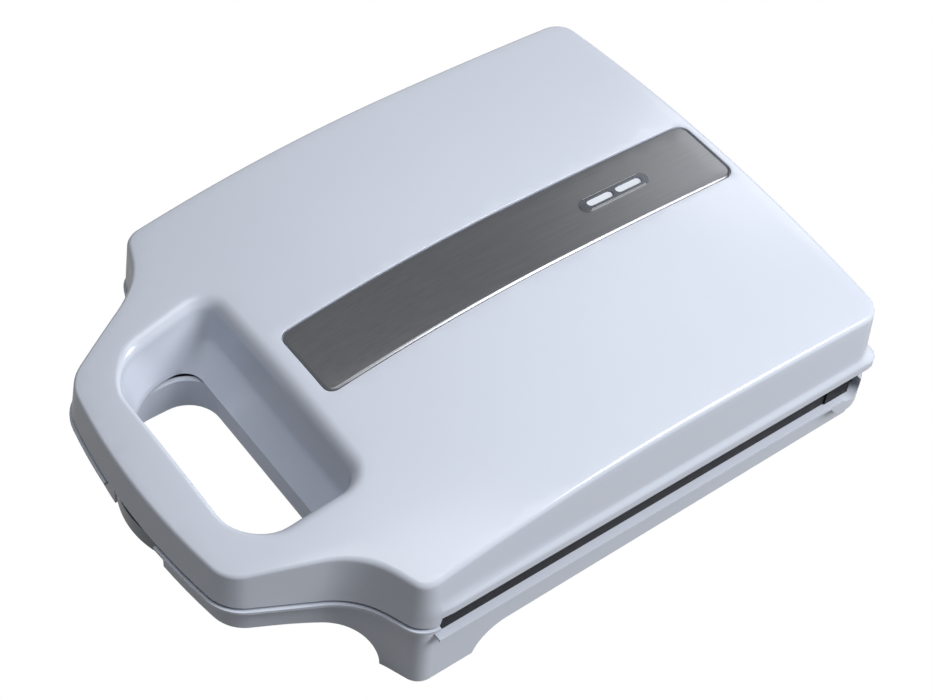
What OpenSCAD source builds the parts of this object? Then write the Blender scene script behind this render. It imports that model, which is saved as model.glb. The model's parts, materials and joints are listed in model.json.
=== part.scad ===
// Clamshell donut maker: a crowned lid hinged at the back of a low base, with a through handle at the front.
// X runs left to right, Y from the handle to the hinge, Z up. The origin is on the table, under the middle.

/* [Body] */
// Width of the lid across its side walls
body_w = 210; // [204:1:230]
// Depth of the lid from the handle's front edge to its back wall
lid_d = 285.8; // [280:0.1:310]
// Height of the crown's highest point
crown_z = 86.7; // [84:0.1:100]
// Height of the parting plane between lid and base
parting_z = 40.7; // [40:0.1:44]
// Wall thickness of the two plastic housings
wall = 2.4; // [2:0.1:2.8]
// How far the rims, the latch tab and the hinge barrel stand out past the lid's walls
overhang = 2.9; // [2.2:0.1:3.4]

/* [Plan outline] */
// Radius of the bowed front edge of the handle
nose_r = 285; // [260:1:320]
// Angle by which the front edge has turned back at the handle's corners
nose_angle = 9.5; // [8:0.1:10]
// Width of the handle at its front corners
handle_w = 113; // [108:0.5:118]
// Radius of the handle's front corners
handle_r = 16.8; // [12:0.1:17.5]
// Width of the neck where the handle meets the shoulders
neck_w = 158.2; // [150:0.1:164]
// Distance of the neck's corner behind the front edge
neck_d = 49.4; // [47:0.1:53]
// Radius of the inward bend at the neck
neck_r = 37.3; // [25:0.1:40]
// Distance of the shoulder's corner behind the front edge
shoulder_d = 59.7; // [57:0.1:63]
// Radius of the shoulder corner
shoulder_r = 8.6; // [6:0.1:10]
// Radius of the rear corners
rear_r = 9.6; // [6:0.1:12]

/* [Crown] */
// Distance of the crown's highest line behind the front edge
crown_d = 188; // [170:1:200]
// Radius of the crown from its highest line to the front
crown_front_r = 630; // [600:5:700]
// Radius of the crown from its highest line to the back
crown_back_r = 2000; // [1500:50:3000]
// Radius of the crown across the lid
crown_cross_r = 707; // [600:1:900]

/* [Rims] */
// Thickness of the lip round the foot of the lid
lid_rim_h = 1.6; // [1.2:0.1:3]
// Thickness of the ledges round the base
base_rim_h = 1.4; // [1:0.1:2]
// Parting gap at the handle and the front
front_gap = 1.2; // [0.8:0.1:1.6]
// Height of the lid's foot above the parting plane, along the sides and the back
lid_side_rise = 4.6; // [4.5:0.1:5.4]
// Depth of the base's side ledge below the parting plane
ledge_drop = 8.9; // [7:0.1:10]
// Distance behind the front edge at which the side gap starts
side_gap_d = 66; // [64:0.5:72]
// How much less the lid's foot stands out at the front than at the sides
front_tuck = 0.9; // [0.5:0.1:1.2]

/* [Base] */
// How far the base's walls stand inside the lid's
base_inset = 0.8; // [0.4:0.1:1.4]
// Height of the underside at the front of the body
floor_front_z = 12.3; // [11:0.1:13]
// Height of the underside at the back
floor_rear_z = 15; // [13:0.1:16]
// Height of the underside of the handle
grip_z = 24.5; // [23:0.1:26]
// Radius of the arch between each front leg and the handle
front_arch_r = 24; // [18:0.5:26]
// Width between the front legs
leg_gap = 176; // [168:1:180]
// Distance from the front edge to the back of the front legs
leg_d = 85.6; // [82:0.1:90]
// Radius of the arch behind each front leg
side_arch_r = 17; // [14:0.5:20]
// Radius of the hinge barrel at the back of the base
barrel_r = 12; // [11:0.1:13]
// Radius of the round cup at the rear of each side
cup_r = 6; // [5:0.1:7]
// Height of the barrel's and the cup's axis
barrel_z = 36; // [35.5:0.1:37]

/* [Handle opening] */
// Width of the finger opening through the handle
grip_w = 96; // [88:0.5:98]
// Depth from the front edge to the front of the finger opening
grip_bar_d = 16.6; // [16:0.1:20]
// Depth of the finger opening, front to back
grip_d = 39; // [34:0.5:40]
// Radius of the finger opening's corners
grip_r = 16; // [8:0.5:18]
// Width of the pocket's mouth in the crown
pocket_w = 110; // [106:0.5:112]
// Depth of the pocket's mouth, front to back
pocket_d = 55.3; // [52:0.1:58]
// Height at which the pocket's back wall turns into its shelf
shelf_z = 50.5; // [48:0.1:54]

/* [Strip and lamps] */
// Width of the steel strip
strip_w = 35; // [32:0.5:38]
// Length of the steel strip
strip_l = 203.6; // [190:0.1:205]
// Distance from the front edge to the strip
strip_d = 77.1; // [76:0.1:82]
// Thickness of the steel strip
strip_t = 0.8; // [0.6:0.1:1]
// Corner radius of the steel strip
strip_r = 3.5; // [2:0.1:5]
// Clearance between the strip and the edge of its recess
strip_gap = 0.5; // [0.3:0.1:0.8]
// Length of the lamp bezel
bezel_l = 35; // [32:0.5:38]
// Width of the lamp bezel
bezel_w = 7.2; // [6.8:0.1:8]
// Distance from the front edge to the middle of the lamp bezel
bezel_d = 229.4; // [220:0.1:232]
// Length of each lens
lens_l = 13; // [11:0.5:14]
// Width of each lens
lens_w = 3.4; // [3:0.1:3.8]

/* [Plates] */
// Width of each cooking plate
plate_w = 192; // [190:1:194]
// Distance from the front edge to the cooking plates
plate_front_d = 73; // [71:0.5:75]
// Distance from the cooking plates to the back edge
plate_rear_d = 24.8; // [23:0.1:28]
// Thickness of the plates' sheet
plate_t = 1.8; // [1.4:0.1:2.2]
// Diameter of a donut
donut_d = 55; // [48:0.5:56]
// Diameter of the hole in a donut
hole_d = 15; // [13:0.5:17]
// Width of the web between neighbouring moulds
web = 5; // [4.8:0.1:6]
// Thickness of each mould's bowl
bowl_t = 1.8; // [1.4:0.1:2.2]

/* [Heating] */
// Diameter of the tubular heating element
element_d = 6.6; // [6:0.1:7]
// Distance between the element's two legs
element_w = 88; // [84:1:92]
// Bend radius of the element
element_r = 20; // [16:1:24]
// Thickness of the reflector's steel sheet
tray_t = 0.8; // [0.5:0.1:1]
// Depth of the reflector tray
tray_h = 18.4; // [18:0.1:19.4]
// Diameter of the thermostat's disc
thermostat_d = 16; // [12:0.5:18]

/* [Hinge] */
// Height of the hinge axis
hinge_z = 45; // [44.5:0.1:46]
// Radius of the hinge knuckles
knuckle_r = 5.5; // [5:0.1:5.7]
// Radius of the hinge pins
hinge_pin_r = 1.8; // [1.5:0.05:2.5]
// Radial running clearance of the hinge pins in the lid
hinge_clear = 0.05; // [0.02:0.01:0.08]
// Distance of the hinge's middle from the centre plane
hinge_x = 76; // [74:0.5:78]
// Width of the lid's knuckle
knuckle_w = 19.2; // [16:0.1:20]
// Width of each of the base's hinge ears
ear_w = 8; // [6:0.5:8.5]
// Gap beside the lid's knuckle
knuckle_gap = 0.4; // [0.3:0.05:0.6]

/* [Latch] */
// Width of the latch's thumb tab
tab_w = 34; // [30:0.5:36]
// Width of the notch that the tab sits in
notch_w = 36; // [35:0.5:44]
// Height of the latch's pivot
pivot_z = 31; // [30:0.1:32]
// Distance of the latch's pivot behind the front edge
pivot_d = 9.3; // [9:0.1:9.6]
// Radius of the latch's pin
latch_pin_r = 1.5; // [1.2:0.05:1.7]
// Radius of the latch's pivot boss
latch_boss_r = 3.2; // [3:0.1:3.4]
// Radial running clearance of the pin in the latch
latch_clear = 0.05; // [0.02:0.01:0.08]
// Thickness of the latch's hook stem
stem_t = 2.6; // [2.2:0.1:2.8]
// How far the hook's nose reaches past its stem
nose_reach = 1.5; // [1.2:0.1:1.6]
// Angle by which the latch turns to hook under the catch
hook_angle = 9; // [7:0.5:9]
// Gap between the nose and the catch with the latch released
catch_gap = 0.3; // [0.2:0.05:0.4]
// Thickness of the steel catch
catch_t = 0.8; // [0.6:0.1:1]

/* [Fittings] */
// Radius of the screw shanks
screw_r = 1.5; // [1.2:0.1:1.6]
// Radius of the screw heads
head_r = 3; // [2.6:0.1:3.2]
// Radius of the bosses that the frames are screwed to
boss_r = 3.4; // [3:0.1:3.8]
// Thickness of the inner frames
frame_t = 2; // [1.6:0.1:2.2]
// Radius of the rubber feet
foot_r = 7; // [5:0.1:7.4]
// Thickness of the rubber feet
foot_t = 2; // [1.5:0.1:2.5]
// Radius of the hole for the power cord
cord_r = 3.4; // [3:0.1:3.8]
// Distance of the cord inlet from the centre plane
inlet_x = 32; // [28:0.5:36]

/* [Hidden] */
$fn = 96;
fine = 360;

// Clearances between seated parts, and a small overlap that makes cuts run clear through.
seat_gap = 0.1;
slip_gap = 0.3;
cut = 1;

// Small fixed sizes of standard fittings.
post_r = 2.5;
skirt_t = 1.2;
screw_end = 2;
screw_head_h = 1.6;
lead_r = 1.1;
terminal_r = 1.6;
terminal_w = 30;
terminal_d = 11;
terminal_h = 12;
lug_t = 2;
spring_l = 3.4;
spring_wire_r = 0.4;
latch_w = 12.8;
leg_z = 0.8;
bushing_r = 4.9;
lamp_r = 2;

// Main places along Y and Z.
front_y = -lid_d / 2;
back_y = lid_d / 2;
rear_y = back_y + overhang;
side_gap_y = front_y + side_gap_d;
lid_front_z = parting_z + front_gap / 2;
lid_side_z = parting_z + lid_side_rise;
base_front_z = parting_z - front_gap / 2;
base_side_z = parting_z - ledge_drop;
barrel_y = rear_y - barrel_r;
hinge_y = rear_y - knuckle_r;
leg_y = front_y + leg_d;
crown_y = front_y + crown_d;
far = body_w + lid_d;
crown_sweep = 20;

// Cooking plates, their moulds and what hangs below them, all measured down from the parting plane.
plate_d = lid_d - plate_front_d - plate_rear_d;
plate_y = front_y + plate_front_d + plate_d / 2;
plate_top = base_front_z;
plate_under = plate_top - plate_t;
frame_top = plate_under - seat_gap;
frame_under = frame_top - frame_t;
bowl_r = (donut_d - hole_d) / 4;
ring_r = (donut_d + hole_d) / 4;
pitch = donut_d + web;
row_pitch = pitch * sqrt(3) / 2;
plate_edge = 8;
rows_beside = floor((plate_d / 2 - plate_edge - donut_d / 2) / row_pitch);
in_middle_row = 1 + 2 * floor((plate_w / 2 - plate_edge - donut_d / 2) / pitch);
moulds = [
  for (row = [-rows_beside:rows_beside]) let (last = in_middle_row - 1 - abs(row))
    for (i = [0:last]) [(i - last / 2) * pitch, row * row_pitch]
];
element_z = plate_top - bowl_r - bowl_t - seat_gap - element_d / 2;
tray_z = plate_under - seat_gap - tray_h;
tray_w = plate_w - 10;
tray_d = plate_d - 20;
tray_r = 24;
plate_r = 6;
corner_x = plate_w / 2 - plate_edge;
corner_y = plate_d / 2 - plate_edge;
from_corner = 14;
plate_screw_places = [for (x = [-1, 1]) for (y = [-1, 1]) [x * corner_x, plate_y + y * corner_y]];
frame_screw_x = plate_w / 2 + head_r + slip_gap;
frame_screw_places = [for (s = [-1, 1]) each [
  [s * frame_screw_x, plate_y - plate_d / 2 + from_corner],
  [s * frame_screw_x, plate_y + plate_d / 2 - from_corner],
  [s * (grip_w + neck_w) / 4.35, front_y + neck_d - 14]]];

// Finger opening and pocket.
nose_y = front_y - nose_r * (1 / cos(nose_angle) - 1);
pocket_front_y = front_y + grip_bar_d;
pocket_back_y = pocket_front_y + pocket_d;
grip_back_y = pocket_front_y + grip_d;
frame_hole_side = wall + slip_gap + 1;
frame_hole_back = wall + slip_gap + 6;
shelf_back_y = pocket_back_y - (crown_z - shelf_z) * 0.16;
pocket_side = [
  [pocket_front_y, 0, 0], [grip_back_y, 0, 0], [grip_back_y, lid_front_z, 0], [shelf_back_y, shelf_z, 0],
  [pocket_back_y, crown_z, 0], [pocket_back_y, 2 * crown_z, 0], [pocket_front_y, 2 * crown_z, 0]
];
pocket_front = [
  [grip_w / 2, 0, 0], [grip_w / 2, lid_front_z, 0], [pocket_w / 2, crown_z - 14, 0], [pocket_w / 2, 2 * crown_z, 0],
  [-pocket_w / 2, 2 * crown_z, 0], [-pocket_w / 2, crown_z - 14, 0], [-grip_w / 2, lid_front_z, 0],
  [-grip_w / 2, 0, 0]
];

// Strip, bezel, lenses and lamps.
strip_seat = strip_t + 0.2;
bezel_y = front_y + bezel_d;
bezel_proud = 0.5;
bezel_h = 5.5;
lens_y = (bezel_l - bezel_w) / 4 + 0.6;
holder_post_x = 11;
post_h = 14;

// Heating parts and wiring.
terminal_l = 6;
lead_end = 5;
element_front_y = plate_y - rows_beside * row_pitch - ring_r + 3;
element_end_y = plate_y + tray_d / 2 + 2;
terminal_y = element_end_y + terminal_l + lead_end;
thermostat_x = plate_w / 2 - 23;
thermostat_h = 9;
blade_t = 0.8;
blade_w = 6;
blade_h = 3;
fuse_l = 26;

// Base: arches, legs, feet, barrel and inlet.
arch_z = floor_front_z - side_arch_r;
arch_y = leg_y + sqrt(side_arch_r * side_arch_r - arch_z * arch_z);
body_front_y = front_y + neck_d + 15;
leg_inner_x = leg_gap / 2 - 9;
rear_wall_y = rear_y - barrel_r / 2 - 1;
barrel_top = parting_z - 3.4;
fence_top = parting_z + 2.8;
knuckle_arm = knuckle_r / 2;
ear_y = rear_wall_y - 2 * wall;
ear_foot_z = barrel_top - 6;
hinge_span = knuckle_w + 2 * (knuckle_gap + ear_w);
rear_foot_x = hinge_x + 4;
rear_foot_d = 24;
rear_foot_y = rear_wall_y - rear_foot_d;
front_foot_x = (leg_inner_x + body_w / 2) / 2 + 1;
front_foot_y = leg_y - wall - foot_r - 3;
foot_places = [
  for (s = [-1, 1]) each [[s * front_foot_x, front_foot_y], [s * rear_foot_x, rear_foot_y]]
];
inlet_z = (floor_rear_z + wall + bushing_r) + slip_gap;

// Latch and catch: heights of the hook and the tab are measured from the pivot.
hook_h = 6.2;
nose_h = 2;
stem_w = 10;
tab_top = 8.3;
tab_bottom = 0.7;
tab_bulge = 3.6;
arm_h = 3.6;
latch_y = front_y + pivot_d;
latch_front_y = front_y - overhang + 1;
tab_r = (tab_w * tab_w / 4 + tab_bulge * tab_bulge) / (2 * tab_bulge);
lug_x = latch_w / 2 + spring_l + 1;
latch_slot_w = 2 * (latch_w / 2 + spring_l + 1 + lug_t + slip_gap);
catch_w = 12;
catch_z = pivot_z + hook_h * cos(hook_angle) - (stem_t / 2 + nose_reach) * sin(hook_angle) - catch_t - seat_gap;
catch_top = lid_front_z + 5;
catch_front_y = latch_y + stem_t / 2 + nose_reach + catch_gap;
catch_back_y = pocket_front_y - wall;

// ---- Outlines: lists of corners [x, y, radius], the radius being negative where the outline turns inward ----
function half_plan(back) = [
  [0, nose_y, nose_r],
  [handle_w / 2, nose_y + handle_w / 2 * tan(nose_angle), handle_r],
  [neck_w / 2, front_y + neck_d, -neck_r],
  [body_w / 2, front_y + shoulder_d, shoulder_r],
  [body_w / 2, back, rear_r]
];
function both_sides(p) =
  concat(p, [for (i = [len(p) - 1:-1:0]) if (p[i][0] > 0) [-p[i][0], p[i][1], p[i][2]]]);
function unit(v) = v / norm(v);
function xy(p) = [p[0], p[1]];
function before(p, i) = xy(p[(i + len(p) - 1) % len(p)]);
function after(p, i) = xy(p[(i + 1) % len(p)]);
function edge_normal(a, b) = let (d = unit(b - a)) [d[1], -d[0]];
function grown(p, g) = [
  for (i = [0:len(p) - 1])
    let (b = xy(p[i]), n = edge_normal(before(p, i), b), m = edge_normal(b, after(p, i)))
      concat(b + g * (n + m) / (1 + n * m), p[i][2] + g)
];
function to_before(p, i) = unit(before(p, i) - xy(p[i]));
function to_after(p, i) = unit(after(p, i) - xy(p[i]));
function half_angle(p, i) = acos(to_before(p, i) * to_after(p, i)) / 2;
function touch_before(p, i) = xy(p[i]) + to_before(p, i) * abs(p[i][2]) / tan(half_angle(p, i));
function touch_after(p, i) = xy(p[i]) + to_after(p, i) * abs(p[i][2]) / tan(half_angle(p, i));
function arc_centre(p, i) =
  xy(p[i]) + unit(to_before(p, i) + to_after(p, i)) * abs(p[i][2]) / sin(half_angle(p, i));
function box_corners(w, d, r) = [
  [w / 2, -d / 2, r], [w / 2, d / 2, r], [-w / 2, d / 2, r], [-w / 2, -d / 2, r]
];

module corner_arc(p, i) {
  intersection() {
    translate(arc_centre(p, i)) circle(r = abs(p[i][2]), $fn = fine);
    polygon([touch_before(p, i), xy(p[i]), touch_after(p, i)]);
  }
}

module outline(p) {
  difference() {
    union() {
      polygon([for (i = [0:len(p) - 1]) each [touch_before(p, i), touch_after(p, i)]]);
      for (i = [0:len(p) - 1]) if (p[i][2] > 0) corner_arc(p, i);
    }
    for (i = [0:len(p) - 1]) if (p[i][2] < 0) corner_arc(p, i);
  }
}

module rounded_rect(w, d, r) {
  outline(box_corners(w, d, r));
}

module sharp(p) {
  polygon([for (c = p) xy(c)]);
}

module slab(z0, z1) {
  translate([0, 0, z0]) linear_extrude(z1 - z0) children();
}

// Extrudes a [y, z] shape across X, from x0 to x1.
module across(x0, x1) {
  translate([x0, 0, 0]) rotate([90, 0, 90]) linear_extrude(x1 - x0) children();
}

module both_ends() {
  children();
  mirror([1, 0, 0]) children();
}

// Turns what is modelled under the base's plate over into the lid.
module flipped() {
  translate([0, 0, 2 * parting_z]) mirror([0, 0, 1]) children();
}

// ---- Crown: one long arc to the front and one to the back, swept round an axis far below the lid ----
module crown_profile(drop) {
  deep = crown_cross_r - crown_z - 2 * wall;
  intersection() {
    translate([crown_cross_r - crown_front_r, crown_y]) circle(r = crown_front_r - drop, $fn = 2 * fine);
    translate([deep, crown_y - lid_d]) square([2 * crown_z, lid_d]);
  }
  intersection() {
    translate([crown_cross_r - crown_back_r, crown_y]) circle(r = crown_back_r - drop, $fn = 2 * fine);
    translate([deep, crown_y]) square([2 * crown_z, lid_d]);
  }
}

module crown_swept() {
  translate([0, 0, crown_z - crown_cross_r]) rotate([-90, 0, 0]) rotate([0, 0, -90 - crown_sweep / 2])
    rotate_extrude(angle = crown_sweep, $fn = 2 * fine) children();
}

// All that lies under the crown once it is lowered by drop.
module under_crown(drop = 0) {
  crown_swept() crown_profile(drop);
}

// Stands its children on the crown, tilted with it.
module on_crown(y) {
  tilt = asin((y - crown_y) / crown_back_r);
  translate([0, crown_y, crown_z - crown_back_r]) rotate([-tilt, 0, 0]) translate([0, 0, crown_back_r]) children();
}

// ---- Lid ----
module lid_solid(inset) {
  intersection() {
    union() {
      slab(lid_front_z - (inset > 0 ? cut : 0), crown_z + cut)
        outline(grown(both_sides(half_plan(back_y)), -inset));
      if (inset == 0) {
        slab(lid_front_z, lid_side_z + lid_rim_h)
          outline(grown(both_sides(half_plan(back_y)), overhang - front_tuck));
        slab(lid_side_z, lid_side_z + lid_rim_h) intersection() {
          outline(grown(both_sides(half_plan(back_y)), overhang));
          translate([-far, side_gap_y]) square(2 * far);
        }
      }
    }
    under_crown(inset);
  }
}

// The finger pocket, from the mouth in the crown down through the handle.
module pocket(g) {
  intersection() {
    across(-far, far) sharp(grown(pocket_side, g));
    translate([0, far, 0]) rotate([90, 0, 0]) linear_extrude(2 * far) sharp(grown(pocket_front, g));
    slab(-cut, 2 * crown_z) translate([0, (pocket_front_y + pocket_back_y) / 2])
      rounded_rect(pocket_w + 2 * g, pocket_d + 2 * g, grip_r + g);
  }
}

module strip_slab(g, top, bottom) {
  intersection() {
    crown_swept() difference() {
      crown_profile(top);
      crown_profile(bottom);
    }
    slab(crown_z / 2, 2 * crown_z) translate([0, front_y + strip_d + strip_l / 2])
      rounded_rect(strip_w + 2 * g, strip_l + 2 * g, strip_r + g);
  }
}

module pill(l, w) {
  rounded_rect(w, l, w / 2 - 0.01);
}

// What stands in the strip: children are drawn in plan and run from z0 to z1 above the crown.
module in_strip(z0, z1) {
  on_crown(bezel_y) slab(z0, z1) children();
}

module lamp_window(g) {
  pill(bezel_l + 2 * g, bezel_w + 2 * g);
}

// Wide opening in the lid's back wall, where both hinge ears and the lid's knuckle stand.
module hinge_window() {
  both_ends() translate([hinge_x - hinge_span / 2 - knuckle_gap, back_y - 2 * wall, 0])
    cube([hinge_span + 2 * knuckle_gap, 2 * wall + 2 * overhang, hinge_z + knuckle_r + 1]);
}

module hinge_cylinder(r, x0, x1) {
  translate([x0, hinge_y, hinge_z]) rotate([0, 90, 0]) cylinder(r = r, h = x1 - x0);
}

module lid_knuckle() {
  x0 = hinge_x - knuckle_w / 2;
  x1 = hinge_x + knuckle_w / 2;
  hinge_cylinder(knuckle_r, x0, x1);
  translate([x0, back_y - wall - knuckle_arm, hinge_z])
    cube([knuckle_w, knuckle_arm, knuckle_r + 1 + 2 * wall]);
  translate([x0, back_y - wall - knuckle_arm, hinge_z])
    cube([knuckle_w, wall + knuckle_arm, knuckle_r + 1 - seat_gap]);
}

module frame_boss(z0, z1) {
  for (p = frame_screw_places) translate([p[0], p[1], z0]) cylinder(r = boss_r, h = z1 - z0);
}

module frame_screw_bores(r) {
  for (p = frame_screw_places) translate([p[0], p[1], 0]) cylinder(r = r, h = 2 * crown_z);
}

module lid_shell() {
  difference() {
    lid_solid(0);
    lid_solid(wall);
  }
  intersection() {
    pocket(wall);
    lid_solid(0);
  }
  intersection() {
    difference() {
      union() {
        frame_boss(2 * parting_z - frame_under + seat_gap, crown_z);
        for (s = [-1, 1]) on_crown(bezel_y) translate([s * holder_post_x, 0, -post_h])
          cylinder(r = post_r, h = post_h);
      }
      frame_screw_bores(screw_r);
    }
    lid_solid(wall / 2);
  }
}

module upper_housing() color([0.86, 0.89, 0.94]) difference() {
  lid_shell();
  pocket(0);
  // The foot of the lid is cut higher along the sides and the back than round the handle.
  translate([-far, side_gap_y, 0]) cube([2 * far, far, lid_side_z]);
  strip_slab(strip_gap, -cut, strip_seat);
  in_strip(-2 * bezel_h, bezel_h) lamp_window(slip_gap);
  hinge_window();
}

module lid_knuckles() color([0.86, 0.89, 0.94]) difference() {
  both_ends() lid_knuckle();
  both_ends() hinge_cylinder(hinge_pin_r + hinge_clear, 0, body_w / 2 - 2 * wall);
}

// The frame that closes each half round its plate, with a wide part along the sides.
module frame_plan() {
  difference() {
    intersection() {
      union() {
        outline(grown(both_sides(half_plan(back_y)), -wall - base_inset - slip_gap));
        rim_plan(0);
      }
      translate([-far, -far]) square([2 * far, far + hinge_y - knuckle_r - wall]);
    }
    difference() {
      translate([0, plate_y]) rounded_rect(plate_w - 8, plate_d - 8, plate_r);
      for (p = plate_screw_places) translate(p) circle(r = 2 * head_r + screw_r);
    }
    translate([-grip_w / 2 - frame_hole_side, pocket_front_y - frame_hole_side])
      square([grip_w + 2 * frame_hole_side, grip_d + frame_hole_side + frame_hole_back]);
    for (p = concat(plate_screw_places, frame_screw_places)) translate(p) circle(r = screw_r + seat_gap / 2);
    translate([-latch_slot_w / 2, front_y - overhang]) square([latch_slot_w, overhang + grip_bar_d]);
  }
}

module plate_frame() {
  slab(frame_under, frame_top) frame_plan();
}

// A cooking plate: a flat sheet whose half-ring bowls each hold a donut round a hollow post.
module ring_bowls(r, over) {
  for (m = moulds) translate([m[0], plate_y + m[1], plate_top]) rotate_extrude() intersection() {
    translate([ring_r, 0]) circle(r = r);
    translate([0, -2 * r]) square([2 * donut_d, 2 * r + over]);
  }
}

module plate_holes() {
  for (p = plate_screw_places) translate([p[0], p[1], 0]) {
    cylinder(r = screw_r + seat_gap, h = crown_z);
    translate([0, 0, plate_under])
      cylinder(r1 = screw_r + seat_gap, r2 = head_r + seat_gap, h = plate_t + seat_gap);
  }
}

module cooking_plate() {
  difference() {
    union() {
      slab(plate_under, plate_top) translate([0, plate_y]) rounded_rect(plate_w, plate_d, plate_r);
      ring_bowls(bowl_r + bowl_t, 0);
    }
    ring_bowls(bowl_r, cut);
    plate_holes();
  }
}

// A screw whose flat head lies flush in the plate.
module plate_screw() {
  translate([0, 0, plate_top - plate_t]) cylinder(r1 = screw_r, r2 = head_r, h = plate_t);
  translate([0, 0, frame_under - screw_end]) cylinder(r = screw_r, h = plate_top - plate_t - frame_under + screw_end);
}

// A pan-headed screw that holds the frame to a boss of the housing.
module frame_screw() {
  translate([0, 0, frame_under - 3 * screw_end]) cylinder(r = screw_r, h = frame_t + 3 * screw_end);
  translate([0, 0, frame_top]) cylinder(r = head_r, h = screw_head_h);
}

module at_places(places) {
  for (p = places) translate([p[0], p[1], 0]) children();
}

module lead(x, y, z, reach_y, end_x) {
  bend = 3 * lead_r;
  translate([x, y, z]) rotate([-90, 0, 0]) cylinder(r = lead_r, h = reach_y - bend - y);
  translate([x - bend, reach_y - bend, z]) rotate_extrude(angle = 90) translate([bend, 0]) circle(r = lead_r);
  translate([end_x, reach_y, z]) rotate([0, 90, 0]) cylinder(r = lead_r, h = x - bend - end_x);
}

module element() {
  x = element_w / 2;
  both_ends() {
    translate([x, element_front_y + element_r, element_z]) rotate([-90, 0, 0])
      cylinder(d = element_d, h = element_end_y - element_front_y - element_r);
    translate([x, element_end_y, element_z]) rotate([-90, 0, 0]) cylinder(r = terminal_r, h = terminal_l);
    translate([x - element_r, element_front_y + element_r, element_z]) rotate([0, 0, -90])
      rotate_extrude(angle = 90) translate([element_r, 0]) circle(d = element_d);
  }
  translate([element_r - x, element_front_y, element_z]) rotate([0, 90, 0])
    cylinder(d = element_d, h = element_w - 2 * element_r);
}

module reflector() {
  difference() {
    slab(tray_z, plate_under - seat_gap) translate([0, plate_y]) rounded_rect(tray_w, tray_d, tray_r);
    slab(tray_z + tray_t, crown_z) translate([0, plate_y])
      rounded_rect(tray_w - 2 * tray_t, tray_d - 2 * tray_t, tray_r - tray_t);
    both_ends() translate([element_w / 2, plate_y, element_z]) rotate([-90, 0, 0])
      cylinder(d = element_d + 2 * slip_gap, h = plate_d);
  }
}

module leads(end_x) {
  both_ends() lead(element_w / 2, element_end_y + terminal_l, element_z, terminal_y, end_x);
}

// ---- Base ----

module base_profile(inset, lift) {
  p = [
    [front_y - overhang, leg_z, 0], [arch_y, leg_z, 0], [arch_y, floor_front_z, 0],
    [rear_wall_y, floor_rear_z, 0], [rear_wall_y, barrel_top + lift, 0], [barrel_y, barrel_top + lift, 0],
    [barrel_y, base_side_z + lift, 0], [side_gap_y, base_side_z + lift, 0],
    [side_gap_y, base_front_z + lift, 0], [front_y - overhang, base_front_z + lift, 0]
  ];
  difference() {
    sharp(grown(p, -inset));
    translate([arch_y, arch_z]) circle(r = side_arch_r + inset);
  }
}

module base_solid(inset, lift) {
  difference() {
    intersection() {
      slab(0, 2 * crown_z) outline(grown(both_sides(half_plan(rear_y + base_inset)), -base_inset - inset));
      across(-far, far) base_profile(inset, lift);
    }
    // The arch under the handle, between the front legs.
    translate([0, body_front_y + inset, 0]) rotate([90, 0, 0]) linear_extrude(far)
      translate([0, grip_z - far / 2 + inset])
        rounded_rect(leg_gap + 2 * inset, far, front_arch_r + inset);
    translate([-leg_inner_x - inset, body_front_y, 0])
      cube([2 * (leg_inner_x + inset), arch_y - body_front_y + inset, floor_front_z + inset]);
  }
}

module barrel_disc(r) {
  translate([barrel_y, barrel_z]) circle(r = r);
}

// The thin ledges round the base: at the front, and lower down along each side, where each curls round its cup.
module base_ledges() {
  intersection() {
    slab(base_front_z - base_rim_h, base_front_z) outline(grown(both_sides(half_plan(back_y)), overhang));
    translate([-far, -far, 0]) cube([2 * far, far + side_gap_y, crown_z]);
  }
  intersection() {
    slab(0, base_side_z) outline(grown(both_sides(half_plan(back_y)), overhang));
    across(-far, far) intersection() {
      union() {
        translate([side_gap_y, base_side_z - base_rim_h]) square([barrel_y - side_gap_y, base_rim_h]);
        barrel_disc(barrel_r);
      }
      translate([-far, 0]) square([far + barrel_y, base_side_z]);
    }
  }
  intersection() {
    slab(0, barrel_top) outline(grown(both_sides(half_plan(back_y)), overhang));
    across(-body_w, body_w) intersection() {
      barrel_disc(barrel_r);
      translate([barrel_y, 0]) square(far);
    }
  }
}

// The low wall between the hinges that closes the gap under the lid's back wall.
module rear_fence() {
  w = 2 * (hinge_x - hinge_span / 2 - wall);
  translate([-w / 2, rear_wall_y - wall, barrel_top - cut]) cube([w, wall, fence_top - barrel_top + cut]);
}

// The wide part of each frame, which fills the gap between lid and base along the sides.
module rim_plan(inset) {
  intersection() {
    outline(grown(both_sides(half_plan(back_y)), -base_inset - inset));
    translate([-far, side_gap_y + wall + slip_gap])
      square([2 * far, barrel_y - barrel_r - side_gap_y - wall - 2 * slip_gap]);
  }
}

// The skirt that stands on the base's side ledges.
module frame_skirt() {
  slab(base_side_z + seat_gap, frame_top) difference() {
    rim_plan(0);
    rim_plan(skirt_t);
  }
}

module grip_plan(g) {
  translate([0, (pocket_front_y + grip_back_y) / 2 + 2])
    rounded_rect(grip_w - 3 + 2 * g, grip_d + 2 * g, grip_r - 1 + g);
}

module hinge_ears(g) {
  both_ends() for (x = [hinge_x - hinge_span / 2, hinge_x + knuckle_w / 2 + knuckle_gap]) {
    hinge_cylinder(knuckle_r + g, x - g, x + ear_w + g);
    translate([x - g, ear_y - g, ear_foot_z - g])
      cube([ear_w + 2 * g, rear_wall_y - ear_y + 2 * g, hinge_z - ear_foot_z + g]);
  }
}

module rod(r, x0, x1) {
  translate([x0, latch_y, pivot_z]) rotate([0, 90, 0]) cylinder(r = r, h = x1 - x0);
}

module latch_lugs() {
  both_ends() translate([lug_x, latch_y - latch_boss_r, grip_z + wall / 2])
    cube([lug_t, 2 * latch_boss_r, pivot_z + latch_boss_r - grip_z - wall / 2]);
}

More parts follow.
